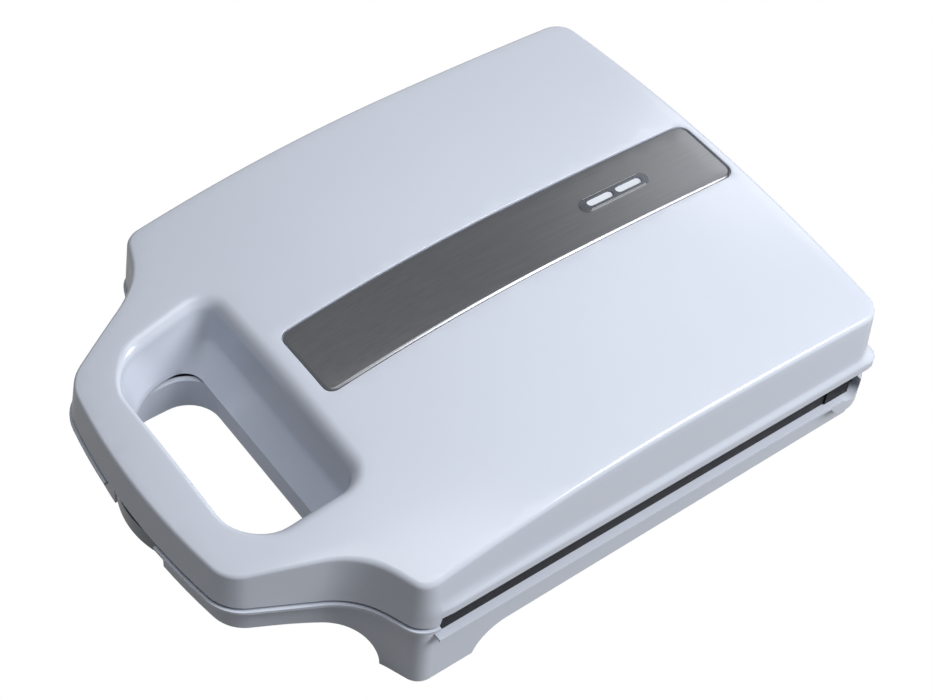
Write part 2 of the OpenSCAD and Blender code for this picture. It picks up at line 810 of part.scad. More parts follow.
module lower_housing() color([0.84, 0.87, 0.92]) {
  difference() {
    union() {
      difference() {
        union() {
          base_solid(0, 0);
          base_ledges();
        }
        base_solid(wall, crown_z);
        slab(-cut, crown_z) grip_plan(0);
        across(body_w / 2 - 3 * wall, body_w) barrel_disc(cup_r);
        across(-body_w, -body_w / 2 + 3 * wall) barrel_disc(cup_r);
      }
      difference() {
        intersection() {
          slab(0, base_front_z) grip_plan(wall);
          base_solid(0, 0);
        }
        slab(-cut, crown_z) grip_plan(0);
      }
      intersection() {
        slab(0, frame_under - seat_gap) for (p = frame_screw_places) translate(p) circle(r = boss_r);
        base_solid(wall / 2, 0);
      }
      at_places([for (p = foot_places) if (p[1] > 0) p]) translate([0, 0, leg_z])
        cylinder(r = foot_r + 2, h = floor_rear_z + wall / 2 - leg_z);
      rear_fence();
      latch_lugs();
    }
    at_places([for (p = foot_places) if (p[1] > 0) p]) translate([0, 0, leg_z + wall])
      cylinder(r = foot_r + 2 - wall, h = crown_z);
    at_places(foot_places) translate([0, 0, -cut]) cylinder(r = foot_r + seat_gap, h = foot_t + cut);
    translate([0, 0, frame_under - 4 * screw_end]) at_places(frame_screw_places)
      cylinder(r = screw_r, h = crown_z);
    hinge_ears(seat_gap);
    rod(latch_pin_r, -body_w / 4, body_w / 4);
    translate([-notch_w / 2, front_y - overhang, 0])
      cube([notch_w, overhang + base_inset + 1.5 * wall, parting_z]);
    translate([inlet_x, back_y - 5 * wall, inlet_z]) rotate([-90, 0, 0]) cylinder(r = bushing_r, h = far);
  }
}

// ---- Nodes of the lid ----
module upper_frame() color([0.13, 0.13, 0.14]) flipped() plate_frame();
module upper_plate() color([0.1, 0.1, 0.11]) flipped() cooking_plate();
module upper_element() color([0.55, 0.53, 0.5]) flipped() element();
module upper_reflector() color([0.75, 0.76, 0.78]) flipped() reflector();
module upper_frame_screws() color([0.7, 0.7, 0.72]) flipped() at_places(frame_screw_places) frame_screw();
module upper_plate_screws() color([0.7, 0.7, 0.72]) flipped() at_places(plate_screw_places) plate_screw();
module upper_leads() color([0.85, 0.85, 0.8]) flipped() leads(terminal_w / 2);

module lid_connector() color([0.9, 0.9, 0.86]) flipped()
  translate([-terminal_w / 2, terminal_y - terminal_d / 2, element_z - terminal_h / 2])
    cube([terminal_w, terminal_d, terminal_h]);

module trim_strip() color([0.62, 0.63, 0.65]) difference() {
  strip_slab(0, 0, strip_t);
  in_strip(-bezel_h, bezel_h) lamp_window(seat_gap);
}

module lens_plan(side, g) {
  translate([0, side * lens_y]) pill(lens_l + 2 * g, lens_w + 2 * g);
}

module lamp_bezel() color([0.8, 0.81, 0.83]) in_strip(-bezel_h, bezel_proud) difference() {
  lamp_window(0);
  for (side = [-1, 1]) lens_plan(side, seat_gap);
}
module power_lens() color([0.95, 0.96, 0.97]) in_strip(-bezel_h, 0) lens_plan(-1, 0);
module ready_lens() color([0.95, 0.96, 0.97]) in_strip(-bezel_h, 0) lens_plan(1, 0);

module lamp(side) {
  on_crown(bezel_y) translate([0, side * lens_y - lens_l / 2, -bezel_h - slip_gap - lamp_r])
    rotate([-90, 0, 0]) cylinder(r = lamp_r, h = lens_l);
}
module power_lamp() color([0.9, 0.5, 0.3]) lamp(-1);
module ready_lamp() color([0.4, 0.75, 0.45]) lamp(1);

// A tray held up against two posts, with a cradle under each lamp.
module lamp_holder() color([0.9, 0.9, 0.86]) on_crown(bezel_y) {
  top = -post_h - seat_gap;
  slab(top - 1.6, top) rounded_rect(2 * (holder_post_x + post_r + 1), bezel_l, 3);
  for (side = [-1, 1]) translate([-lamp_r, side * lens_y - lens_l / 2 + 1, top - cut])
    cube([2 * lamp_r, lens_l - 2, cut - top - bezel_h - slip_gap - 2 * lamp_r - seat_gap]);
}

module lid_catch() color([0.75, 0.76, 0.78]) {
  translate([-catch_w / 2, catch_front_y, catch_z]) cube([catch_w, catch_back_y - catch_front_y, catch_t]);
  translate([-catch_w / 2, catch_back_y - catch_t, catch_z]) cube([catch_w, catch_t, catch_top - catch_z]);
}

// ---- Nodes of the base ----
module lower_frame() color([0.13, 0.13, 0.14]) {
  plate_frame();
  frame_skirt();
}
module lower_plate() color([0.1, 0.1, 0.11]) cooking_plate();
module lower_element() color([0.55, 0.53, 0.5]) element();
module lower_reflector() color([0.75, 0.76, 0.78]) reflector();
module lower_frame_screws() color([0.7, 0.7, 0.72]) at_places(frame_screw_places) frame_screw();
module lower_plate_screws() color([0.7, 0.7, 0.72]) at_places(plate_screw_places) plate_screw();
module lower_leads() color([0.85, 0.85, 0.8]) leads(terminal_w / 2);

module thermostat() color([0.8, 0.8, 0.78]) {
  h = thermostat_h;
  translate([thermostat_x, plate_y + plate_d / 4, plate_under - seat_gap - h]) cylinder(d = thermostat_d, h = h);
  for (s = [-1, 1]) translate([thermostat_x + s * thermostat_d / 4, plate_y + plate_d / 4, 0])
    translate([-blade_t / 2, -blade_w / 2, plate_under - seat_gap - h - blade_h])
      cube([blade_t, blade_w, blade_h + cut]);
}

module thermal_fuse() color([0.8, 0.78, 0.7])
  translate([-thermostat_x, plate_y + plate_d / 4 - fuse_l / 2, plate_under - 2 * seat_gap - lamp_r])
    rotate([-90, 0, 0]) cylinder(r = lamp_r, h = fuse_l);

module terminal_block() color([0.9, 0.9, 0.86]) difference() {
  translate([-terminal_w / 2, terminal_y - terminal_d / 2, floor_rear_z + wall])
    cube([terminal_w, terminal_d, element_z + terminal_h / 2 - floor_rear_z - wall]);
  for (x = [-1:1]) translate([x * terminal_w / 3, terminal_y, element_z]) cylinder(r = 2, h = terminal_h);
}

module cord_bushing() color([0.2, 0.2, 0.21])
  translate([inlet_x, rear_wall_y - 2.5 * wall, inlet_z]) rotate([-90, 0, 0]) difference() {
    cylinder(r = bushing_r, h = rear_y - rear_wall_y + 2.5 * wall);
    translate([0, 0, -cut]) cylinder(r = cord_r, h = far);
  }

module base_ears() color([0.84, 0.87, 0.92]) difference() {
  hinge_ears(0);
  both_ends() hinge_cylinder(hinge_pin_r, hinge_x - hinge_span / 2 - cut, hinge_x + hinge_span / 2 + cut);
}

module hinge_pins() color([0.75, 0.76, 0.78])
  both_ends() hinge_cylinder(hinge_pin_r, hinge_x - hinge_span / 2, hinge_x + hinge_span / 2);

module rubber_feet() color([0.15, 0.15, 0.16]) at_places(foot_places) cylinder(r = foot_r, h = foot_t);

// ---- Latch ----

module latch_clip() color([0.42, 0.48, 0.53]) difference() {
  union() {
    rod(latch_boss_r, -latch_w / 2, latch_w / 2);
    translate([-stem_w / 2, latch_y - stem_t / 2, pivot_z]) cube([stem_w, stem_t, hook_h + nose_h]);
    translate([-stem_w / 2, latch_y, pivot_z + hook_h]) cube([stem_w, stem_t / 2 + nose_reach, nose_h]);
    translate([-latch_w / 2, latch_front_y + tab_bulge - cut, pivot_z - arm_h / 2])
      cube([latch_w, latch_y - latch_front_y - tab_bulge + cut, arm_h]);
    slab(pivot_z - tab_bottom, pivot_z + tab_top) intersection() {
      translate([0, latch_front_y + tab_r]) circle(r = tab_r, $fn = fine);
      translate([-tab_w, latch_front_y - cut]) square([2 * tab_w, tab_bulge + cut]);
    }
  }
  rod(latch_pin_r + latch_clear, -latch_w, latch_w);
}

module latch_pin() color([0.75, 0.76, 0.78]) rod(latch_pin_r, -lug_x - lug_t, lug_x + lug_t);

// A short torsion spring round the pin, beside the latch's boss.
module latch_spring() color([0.72, 0.73, 0.75]) {
  coil_r = latch_pin_r + 2 * spring_wire_r;
  coil_pitch = 2.1 * spring_wire_r;
  turns = floor((spring_l - 2 * slip_gap) / coil_pitch);
  x0 = latch_w / 2 + slip_gap + spring_wire_r;
  for (i = [0:turns - 1]) translate([x0 + i * coil_pitch, latch_y, pivot_z]) rotate([0, 90, 0])
    rotate_extrude($fn = 48) translate([coil_r, 0]) circle(r = spring_wire_r, $fn = 24);
  leg_z0 = grip_z + wall;
  leg_h = pivot_z - leg_z0;
  translate([x0, latch_y + coil_r, leg_z0]) cylinder(r = 0.85 * spring_wire_r, h = leg_h, $fn = 24);
  translate([x0 + coil_pitch, latch_y + coil_r, pivot_z])
    cylinder(r = 0.85 * spring_wire_r, h = leg_h, $fn = 24);
}

upper_housing();
upper_frame();
upper_plate();
upper_element();
upper_reflector();
upper_frame_screws();
upper_plate_screws();
upper_leads();
lid_connector();
trim_strip();
lamp_bezel();
power_lens();
ready_lens();
power_lamp();
ready_lamp();
lamp_holder();
lid_catch();
lid_knuckles();
lower_housing();
lower_frame();
lower_plate();
lower_element();
lower_reflector();
lower_frame_screws();
lower_plate_screws();
lower_leads();
thermostat();
thermal_fuse();
terminal_block();
cord_bushing();
base_ears();
hinge_pins();
rubber_feet();
latch_clip();
latch_pin();
latch_spring();
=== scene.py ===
"""Clamshell donut maker: crowned white lid on a low base, steel strip with two lenses, through handle."""

import json
import math

import bmesh
import bpy
import numpy as np
from mathutils import Matrix, Vector
from mathutils.geometry import delaunay_2d_cdt


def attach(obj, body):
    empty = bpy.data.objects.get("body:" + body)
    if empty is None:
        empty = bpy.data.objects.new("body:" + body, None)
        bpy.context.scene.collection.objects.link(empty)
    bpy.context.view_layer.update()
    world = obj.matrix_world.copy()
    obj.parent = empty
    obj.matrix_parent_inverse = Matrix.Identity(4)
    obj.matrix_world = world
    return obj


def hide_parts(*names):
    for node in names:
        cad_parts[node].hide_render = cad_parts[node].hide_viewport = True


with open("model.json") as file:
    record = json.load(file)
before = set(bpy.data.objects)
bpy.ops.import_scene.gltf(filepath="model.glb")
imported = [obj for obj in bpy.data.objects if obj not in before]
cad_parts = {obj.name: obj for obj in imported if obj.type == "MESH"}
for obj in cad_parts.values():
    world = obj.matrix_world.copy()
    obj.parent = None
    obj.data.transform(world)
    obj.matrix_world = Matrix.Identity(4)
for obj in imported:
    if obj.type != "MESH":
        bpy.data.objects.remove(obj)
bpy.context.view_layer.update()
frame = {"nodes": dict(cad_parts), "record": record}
nodes = frame["nodes"]
MM = 0.001


# ---------------------------------------------------------------- shader expressions

class Link:
    """An output of a node. Adding to a link or multiplying it adds a Math node."""

    def __init__(self, tree, socket):
        self.tree = tree
        self.socket = socket

    def math(self, operation, *values):
        return self.tree.node("Math", {"operation": operation}, dict(enumerate(values)))

    def __add__(self, other):
        return self.math("ADD", self, other)

    def __radd__(self, other):
        return self.math("ADD", other, self)

    def __mul__(self, other):
        return self.math("MULTIPLY", self, other)

    def __rmul__(self, other):
        return self.math("MULTIPLY", other, self)

    def at_least(self, other):
        return self.math("MAXIMUM", self, other)

    def steps(self, low, high):
        """0 below low, 1 above high, smooth between."""
        settings = {"interpolation_type": "SMOOTHSTEP"}
        return self.tree.node("MapRange", settings, {"Value": self, "From Min": low, "From Max": high})


class Tree:
    """The node tree of a material or of the world."""

    def __init__(self, owner):
        owner.use_nodes = True
        self.nodes = owner.node_tree.nodes
        self.links = owner.node_tree.links

    def plug(self, socket, value):
        if isinstance(value, Link):
            self.links.new(value.socket, socket)
        else:
            socket.default_value = value

    def node(self, kind, settings, sockets, out=0):
        """Adds a node: its settings come first, then the values or links of its sockets."""
        made = self.nodes.new("ShaderNode" + kind)
        for key, value in settings.items():
            setattr(made, key, value)
        for key, value in sockets.items():
            self.plug(made.inputs[key], value)
        return Link(self, made.outputs[out])

    def sees_background(self, mirrored):
        """1 for rays that see the background itself, mirrored for reflections, else 0."""
        camera, through, glossy = [self.node("LightPath", {}, {}, f"Is {kind} Ray")
                                   for kind in ("Camera", "Transmission", "Glossy")]
        return camera.at_least(through).at_least(glossy * mirrored)


# A Mix node's colour sockets, which share their names with its other sockets.
MIX_FACTOR, MIX_FIRST, MIX_SECOND, MIX_RESULT = 0, 6, 7, 2


class Finish(Tree):
    """A node material: constants sit on the shader's own sockets, links feed only what can be baked."""

    def __init__(self, name, colour, rough, **constants):
        self.material = bpy.data.materials.new(name)
        super().__init__(self.material)
        self.shader = self.nodes["Principled BSDF"]
        self.set(Base_Color=(*colour, 1.0), Roughness=rough, **constants)

    def set(self, **sockets):
        for key, value in sockets.items():
            self.plug(self.shader.inputs[key.replace("_", " ")], value)
        return self

    def place(self, scale=(1.0, 1.0, 1.0)):
        """Object coordinates, in metres, stretched by scale."""
        where = self.node("TexCoord", {}, {}, "Object")
        return self.node("VectorMath", {"operation": "MULTIPLY"}, {0: where, 1: scale})

    def noise(self, scale, detail=2.0, rough=0.5, stretch=(1.0, 1.0, 1.0)):
        return self.node("TexNoise", {}, {"Vector": self.place(stretch), "Scale": scale,
                                          "Detail": detail, "Roughness": rough})

    def mix(self, factor, first, second):
        """A mix of two colours, at a factor that may be a link."""
        colours = {MIX_FACTOR: factor, MIX_FIRST: (*first, 1.0), MIX_SECOND: (*second, 1.0)}
        return self.node("Mix", {"data_type": "RGBA"}, colours, MIX_RESULT)

    def bump(self, height, strength, distance):
        sockets = {"Height": height, "Strength": strength, "Distance": distance}
        return self.set(Normal=self.node("Bump", {}, sockets))


def linear(*display):
    """Linear light for a colour written as 0-255 display values."""
    channels = [value / 255 for value in display]
    return tuple(c / 12.92 if c <= 0.04045 else ((c + 0.055) / 1.055) ** 2.4 for c in channels)


def shade(colour, factor):
    return tuple(min(1.0, c * factor) for c in colour)


def moulded_white(name, colour):
    """Glossy moulded plastic with the faint waviness and handling haze of a clean lid."""
    f = Finish(name, colour, 0.2, Coat_Weight=0.25, Coat_Roughness=0.12, Specular_IOR_Level=0.45)
    cloud = f.noise(9.0, 3.0)
    haze = f.noise(60.0, 4.0, 0.6)
    f.set(Base_Color=f.mix(cloud.steps(0.3, 0.7), shade(colour, 0.975), colour))
    f.set(Roughness=0.16 + haze * 0.1)
    return f.bump(f.noise(420.0, 2.0), 0.03, 0.0002).material


def black_frame(name):
    """Heat-resistant black plastic with a fine spark-eroded grain."""
    f = Finish(name, linear(26, 26, 30), 0.5, Specular_IOR_Level=0.2)
    grain = f.noise(2600.0, 2.0)
    f.set(Base_Color=f.mix(f.noise(30.0, 3.0), linear(16, 16, 22), linear(25, 25, 32)))
    f.set(Roughness=0.42 + grain * 0.2)
    return f.bump(grain, 0.25, 0.00015).material


def nonstick(name):
    """Black non-stick coating on cast aluminium: fine orange peel, a little sheen and worn crests."""
    f = Finish(name, linear(30, 30, 32), 0.35, Coat_Weight=0.25, Coat_Roughness=0.25)
    peel = f.noise(900.0, 3.0, 0.55)
    speck = f.node("TexVoronoi", {}, {"Vector": f.place(), "Scale": 1500.0})
    f.set(Base_Color=f.mix(speck.steps(0.0, 0.12), linear(74, 74, 76), linear(29, 29, 31)))
    f.set(Roughness=0.3 + peel * 0.2)
    return f.bump(peel, 0.2, 0.0002).material


def brushed(name, colour, along):
    """Brushed sheet steel; along stretches the scratches."""
    f = Finish(name, colour, 0.3, Metallic=1.0)
    lines = f.noise(900.0, 3.0, 0.7, along)
    broad = f.noise(14.0, 3.0)
    f.set(Base_Color=f.mix(lines, shade(colour, 0.82), shade(colour, 1.1)))
    f.set(Roughness=0.24 + lines * 0.1 + broad * 0.06)
    return f.bump(lines, 0.15, 0.0001).material


def clear_lens(name, colour, clear):
    """Glass or clear plastic; clear is the share of light that passes through."""
    f = Finish(name, colour, 0.08, Transmission_Weight=clear, IOR=1.49)
    f.set(Roughness=0.05 + f.noise(300.0, 2.0) * 0.06)
    return f.bump(f.noise(500.0, 2.0), 0.05, 0.0002).material


def satin(name, colour, rough, grain_scale, bump=0.15, **constants):
    """A plain satin finish with a grain of its own: rubber, ceramic, sleeving or a small moulding."""
    f = Finish(name, colour, rough, **constants)
    grain = f.noise(grain_scale, 3.0, 0.6)
    f.set(Base_Color=f.mix(grain, shade(colour, 0.85), shade(colour, 1.08)))
    f.set(Roughness=rough - 0.05 + grain * 0.1)
    return f.bump(grain, bump, 0.0002).material


FINISH = {
    "housing_white": moulded_white("housing_white", linear(212, 219, 233)),
    "frame_black": black_frame("frame_black"),
    "nonstick": nonstick("nonstick"),
    "element_steel": satin("element_steel", linear(120, 114, 106), 0.5, 400.0, Metallic=1.0),
    "reflector_steel": satin("reflector_steel", linear(190, 192, 194), 0.42, 120.0, 0.05, Metallic=1.0),
    "screw_steel": satin("screw_steel", linear(186, 186, 190), 0.3, 900.0, 0.05, Metallic=1.0),
    "lead_sleeve": satin("lead_sleeve", linear(220, 218, 204), 0.8, 1800.0, 0.5),
    "terminal_plastic": satin("terminal_plastic", linear(224, 222, 208), 0.45, 600.0),
    "strip_steel": brushed("strip_steel", linear(126, 128, 132), (1.0, 0.03, 1.0)),
    "bezel_grey": satin("bezel_grey", linear(104, 108, 116), 0.24, 500.0, 0.04, Metallic=0.9),
    "lens_clear": clear_lens("lens_clear", (0.84, 0.88, 0.95), 0.12),
    "lamp_glass": clear_lens("lamp_glass", (0.95, 0.75, 0.6), 0.9),
    "ceramic_cream": satin("ceramic_cream", linear(220, 214, 192), 0.6, 900.0),
    "bushing_rubber": satin("bushing_rubber", linear(44, 44, 46), 0.62, 1400.0, 0.3),
    "foot_rubber": satin("foot_rubber", linear(40, 40, 42), 0.7, 1400.0, 0.3),
    # Painted shade: the latch clip takes the housing's moulded white finish, coloured darker grey-blue for
    # the shade it sits in under the handle.
    "latch_grey": moulded_white("latch_grey", linear(120, 134, 146)),
}
for part in frame["record"]["subparts"]:
    node = nodes[part["node"]]
    node.data.materials.clear()
    node.data.materials.append(FINISH[part["material_slot"]])

# ---------------------------------------------------------------- camera, floor and light

scene = bpy.context.scene
scene.view_settings.view_transform = "Standard"

CAMERA_AT = Vector((0.4242, -0.3513, 0.6831))
AZIMUTH, ELEVATION, ROLL = map(math.radians, (49.188, 49.242, 5.572))
FOCAL_LENGTH, SENSOR_WIDTH = 79.97, 36.0
reach = math.cos(ELEVATION)
back = Vector((math.sin(AZIMUTH) * reach, -math.cos(AZIMUTH) * reach, math.sin(ELEVATION)))
level = Vector((math.cos(AZIMUTH), math.sin(AZIMUTH), 0.0))
upright = back.cross(level)
right = math.cos(ROLL) * level + math.sin(ROLL) * upright
up = math.cos(ROLL) * upright - math.sin(ROLL) * level
lens = bpy.data.cameras.new("camera")
lens.lens = FOCAL_LENGTH
lens.sensor_width = SENSOR_WIDTH
camera = bpy.data.objects.new("camera", lens)
camera.matrix_world = Matrix.Translation(CAMERA_AT) @ Matrix((right, up, back)).transposed().to_4x4()
scene.collection.objects.link(camera)
scene.camera = camera

MIDDLE = Vector((0.0, 0.0, 0.05))


def area_light(name, at, size, watts):
    """A round soft light aimed at the middle of the appliance."""
    lamp = bpy.data.lights.new(name, "AREA")
    lamp.shape = "DISK"
    lamp.size = size
    lamp.energy = watts
    made = bpy.data.objects.new(name, lamp)
    made.location = at
    made.rotation_euler = (MIDDLE - Vector(at)).to_track_quat("-Z", "Y").to_euler()
    scene.collection.objects.link(made)


area_light("key", (1.05, 0.85, 1.3), 0.9, 30.0)
area_light("rear", (-0.75, 1.4, 1.1), 0.7, 3.0)
area_light("overhead", (0.2, -0.15, 1.75), 1.2, 9.0)

# How bright the sky is as a light, and how bright sky and floor are in a reflection.
SKY_LIGHT, SKY_MIRRORED, FLOOR_MIRRORED = 0.1, 0.4, 0.3
FLOOR_ALBEDO, FLOOR_HALF = 0.2, 6

scene.world = bpy.data.worlds.new("studio")
sky = Tree(scene.world)
background = sky.nodes["Background"]
background.inputs["Color"].default_value = (1.0, 1.0, 1.0, 1.0)
sky.plug(background.inputs["Strength"], SKY_LIGHT + sky.sees_background(SKY_MIRRORED) * (1.0 - SKY_LIGHT))

floor_mesh = bpy.data.meshes.new("floor")
floor_corners = [(x * FLOOR_HALF, y * FLOOR_HALF, 0) for x, y in ((-1, -1), (1, -1), (1, 1), (-1, 1))]
floor_mesh.from_pydata(floor_corners, [], [(0, 1, 2, 3)])
floor = bpy.data.objects.new("floor", floor_mesh)
scene.collection.objects.link(floor)
pale = Finish("floor_pale", (FLOOR_ALBEDO,) * 3, 0.9)
lit = Link(pale, pale.shader.outputs[0])
glow = pale.node("Emission", {}, {"Strength": 1.0})
surface = pale.node("MixShader", {}, {0: pale.sees_background(FLOOR_MIRRORED), 1: lit, 2: glow})
pale.plug(pale.nodes["Material Output"].inputs["Surface"], surface)
floor_mesh.materials.append(pale.material)

# ---------------------------------------------------------------- outlines and skins, in millimetres

FRONT, BACK, SIDE = -142.9, 142.9, 105.0
OVERHANG, FRONT_OUT = 2.9, 2.0
CROWN_Z, CROWN_Y, FRONT_R, BACK_R, CROSS_R = 86.7, FRONT + 188.0, 630.0, 2000.0, 707.0
STEP_Y = FRONT + 66.0
FRONT_LOW, SIDE_LOW = 41.3, 45.3
NOSE_TILT, NOSE_R, NOSE_HALF = math.radians(9.5), 285.0, 56.5
NOSE_Y = FRONT - NOSE_R * (1.0 / math.cos(NOSE_TILT) - 1.0)
REAR_R, LIP_CORNER_R = 9.6, 6.0
REAR_CENTRE = (SIDE - REAR_R, BACK - REAR_R)


def crown(x, y):
    """Height of the lid's crown."""
    radius = np.where(y < CROWN_Y, FRONT_R, BACK_R)
    along = CROSS_R - radius + np.sqrt(radius ** 2 - (y - CROWN_Y) ** 2)
    return CROWN_Z - CROSS_R + np.sqrt(along ** 2 - x ** 2)


def outline(corners, arc, run, cuts=()):
    """Points and outward normals round a closed outline of corners (x, y, radius).

    A radius below 0 turns inward. Every corner has at least arc steps, and steps are about run long
    at most. cuts are (axis, value) lines on which the outline gets a point of its own.
    """
    corners = [np.array(c, float) for c in corners]
    count = len(corners)
    arcs = []
    for i, corner in enumerate(corners):
        before = corners[i - 1][:2] - corner[:2]
        after = corners[(i + 1) % count][:2] - corner[:2]
        before /= np.linalg.norm(before)
        after /= np.linalg.norm(after)
        half = math.acos(np.clip(before @ after, -1, 1)) / 2
        radius = abs(corner[2])
        middle = (before + after) / np.linalg.norm(before + after)
        centre = corner[:2] + middle * radius / math.sin(half)
        start = corner[:2] + before * radius / math.tan(half) - centre
        end = corner[:2] + after * radius / math.tan(half) - centre
        first, last = math.atan2(start[1], start[0]), math.atan2(end[1], end[0])
        turn = (last - first + math.pi) % (2 * math.pi) - math.pi
        angles = first + turn * np.linspace(0.0, 1.0, max(arc, int(abs(turn) * radius / run)) + 1)
        rays = np.stack([np.cos(angles), np.sin(angles)], 1)
        arcs.append((centre + rays * radius, rays * math.copysign(1.0, corner[2])))
    points, normals = [], []
    for i, (spots, rays) in enumerate(arcs):
        end, begin = spots[-1], arcs[(i + 1) % count][0][0]
        parts = max(1, int(np.linalg.norm(begin - end) / run))
        inner = np.linspace(0.0, 1.0, parts + 1)[1:-1, None]
        points += [*spots, *(end + (begin - end) * inner)]
        normals += [*rays, *np.repeat(rays[-1:], len(inner), 0)]
    points, normals = np.array(points), np.array(normals)
    for axis, value in cuts:
        nearby = np.roll(points, -1, 0)
        crossed = np.nonzero((points[:, axis] - value) * (nearby[:, axis] - value) < 0)[0]
        share = ((value - points[crossed, axis]) / (nearby[crossed, axis] - points[crossed, axis]))[:, None]
        spots = points[crossed] * (1 - share) + nearby[crossed] * share
        rays = normals[crossed] * (1 - share) + np.roll(normals, -1, 0)[crossed] * share
        points = np.insert(points, crossed + 1, spots, 0)
        normals = np.insert(normals, crossed + 1, rays / np.linalg.norm(rays, axis=1)[:, None], 0)
    return points, normals


def mirrored(corners):
    """Both sides of a half outline that starts on the centre line."""
    return corners + [(-x, y, r) for x, y, r in reversed(corners) if x > 0]


LID_PLAN = mirrored([
    (0.0, NOSE_Y, NOSE_R),
    (NOSE_HALF, NOSE_Y + NOSE_HALF * math.tan(NOSE_TILT), 16.8),
    (79.1, FRONT + 49.4, -37.3),
    (SIDE, FRONT + 59.7, 8.6),
    (SIDE, BACK, REAR_R),
])

WELD, SHORTEST_EDGE, SAME_SPOT = 0.002, 0.0001, 1e-7
# How far a fill's inner points stay from its edges, as a share of its pitch.
EDGE_CLEARANCE = 0.45


class Skin:
    """Collects rings and fills into one mesh, in millimetres."""

    def __init__(self):
        self.verts = []
        self.faces = []

    def add(self, verts):
        start = len(self.verts)
        self.verts.extend(map(tuple, verts))
        return start

    def rings(self, rings):
        """Quads between closed rings of equally many points, which run the same way round."""
        starts = [self.add(ring) for ring in rings]
        count = len(rings[0])
        for lower, upper in zip(starts, starts[1:]):
            for i in range(count):
                j = (i + 1) % count
                self.faces.append((lower + i, lower + j, upper + j, upper + i))

    def cap(self, ring, turn):
        """A flat face across a ring; turn -1 faces it the other way."""
        start = self.add(ring)
        self.faces.append(tuple(range(start, start + len(ring)))[::turn])

    def tube(self, rings):
        """Rings with both ends capped."""
        self.rings(rings)
        self.cap(rings[0], -1)
        self.cap(rings[-1], 1)

    def fill(self, edge, holes, height, pitch):
        """A net of triangles inside edge and outside the holes, its points lifted to height(x, y)."""
        loops = [np.asarray(edge)] + [np.asarray(h) for h in holes]
        spots = [p for loop in loops for p in loop]
        links, start = [], 0
        for loop in loops:
            n = len(loop)
            links += [(start + i, start + (i + 1) % n) for i in range(n)]
            start += n
        low, high = loops[0].min(0), loops[0].max(0)
        xs = np.arange(low[0] + pitch / 2, high[0], pitch)
        ys = np.arange(low[1] + pitch / 2, high[1], pitch)
        grid = np.array([(x + (pitch / 2 if j % 2 else 0), y) for j, y in enumerate(ys) for x in xs])
        clear = pitch * EDGE_CLEARANCE
        inside = within(grid, loops[0]) & (distance(grid, loops[0]) > clear)
        for hole in loops[1:]:
            inside &= ~within(grid, hole) & (distance(grid, hole) > clear)
        spots += list(grid[inside])
        made = delaunay_2d_cdt([Vector(p) for p in spots], links, [], 1, SAME_SPOT)
        flat = np.array([tuple(v) for v in made[0]])
        faces = made[2]
        centres = np.array([flat[list(f)].mean(0) for f in faces])
        good = within(centres, loops[0])
        for hole in loops[1:]:
            good &= ~within(centres, hole)
        start = self.add(np.column_stack([flat, height(flat[:, 0], flat[:, 1])]))
        for face, keep in zip(faces, good):
            if keep:
                self.faces.append(tuple(start + i for i in face))

    def lathe(self, at, axis, profile, steps):
        """A closed turned body: profile is (distance along axis, radius) from end to end."""
        axis = Vector(axis).normalized()
        side = axis.orthogonal().normalized()
        over = axis.cross(side)
        angles = np.linspace(0, 2 * math.pi, steps, endpoint=False)
        rays = [side * math.cos(a) + over * math.sin(a) for a in angles]
        self.tube([[Vector(at) + axis * along + ray * radius for ray in rays] for along, radius in profile])

    def object(self, name, material, sharp=35.0):
        """The welded mesh as a scene object, smooth but for edges sharper than sharp degrees."""
        mesh = bpy.data.meshes.new(name)
        mesh.from_pydata([tuple(c * MM for c in v) for v in self.verts], [], self.faces)
        work = bmesh.new()
        work.from_mesh(mesh)
        bmesh.ops.remove_doubles(work, verts=work.verts, dist=WELD * MM)
        bmesh.ops.dissolve_degenerate(work, edges=work.edges, dist=SHORTEST_EDGE * MM)
        work.to_mesh(mesh)
        work.free()
        made = bpy.data.objects.new(name, mesh)
        scene.collection.objects.link(made)
        mesh.materials.append(material)
        mesh.shade_smooth()
        mesh.set_sharp_from_angle(angle=math.radians(sharp))
        return made


def within(spots, loop):
    """Which spots lie inside a closed loop."""
    inside = np.zeros(len(spots), bool)
    ax, ay = loop[:, 0], loop[:, 1]
    bx, by = np.roll(ax, -1), np.roll(ay, -1)
    for x0, y0, x1, y1 in zip(ax, ay, bx, by):
        crosses = (y0 > spots[:, 1]) != (y1 > spots[:, 1])
        if y1 != y0:
            inside ^= crosses & (spots[:, 0] < (x1 - x0) * (spots[:, 1] - y0) / (y1 - y0) + x0)
    return inside


def distance(spots, loop):
    """How far spots lie from the points of a loop."""
    return np.min(np.linalg.norm(spots[:, None] - loop[None], axis=2), axis=1)


def lifted(points, heights):
    """Plan points given a height each, or one height for all."""
    if np.isscalar(heights):
        heights = np.full(len(points), heights)
    return np.column_stack([points, heights])


def rounded_edge(radius, steps=5):
    """(distance inward, drop) pairs of a quarter round, from the wall to the top."""
    angles = np.linspace(0, math.pi / 2, steps + 1)
    return [(radius * (1 - math.cos(a)), radius * (1 - math.sin(a))) for a in angles]


def shares(steps):
    """Even steps up to 1, without the 0."""
    return np.linspace(0, 1, steps + 1)[1:]


def smoothstep(value, low, high):
    """0 below low, 1 above high, smooth between."""
    t = np.clip((value - low) / (high - low), 0, 1)
    return t * t * (3 - 2 * t)


# ---------------------------------------------------------------- lid

EDGE_R, FRONT_EDGE_R = 2.2, 1.4
SIDE_DRAFT, COVE_TOP, COVE_LOW = 1.2, 53.5, 49.0
WINDOWS = (57.4, 94.6)
WINDOW_Z = 51.5
STEP_BLEND, WINDOW_BLEND, AT_THE_BACK = 0.6, 0.25, 1.0
LIP_R, SHELL_T = 0.5, 1.6
# Where the front's wall turns into the side's, along Y, and where the top edge tightens, along -Y.
SIDE_BLEND, EDGE_BLEND = (-84.0, -72.0), (88.0, 108.0)
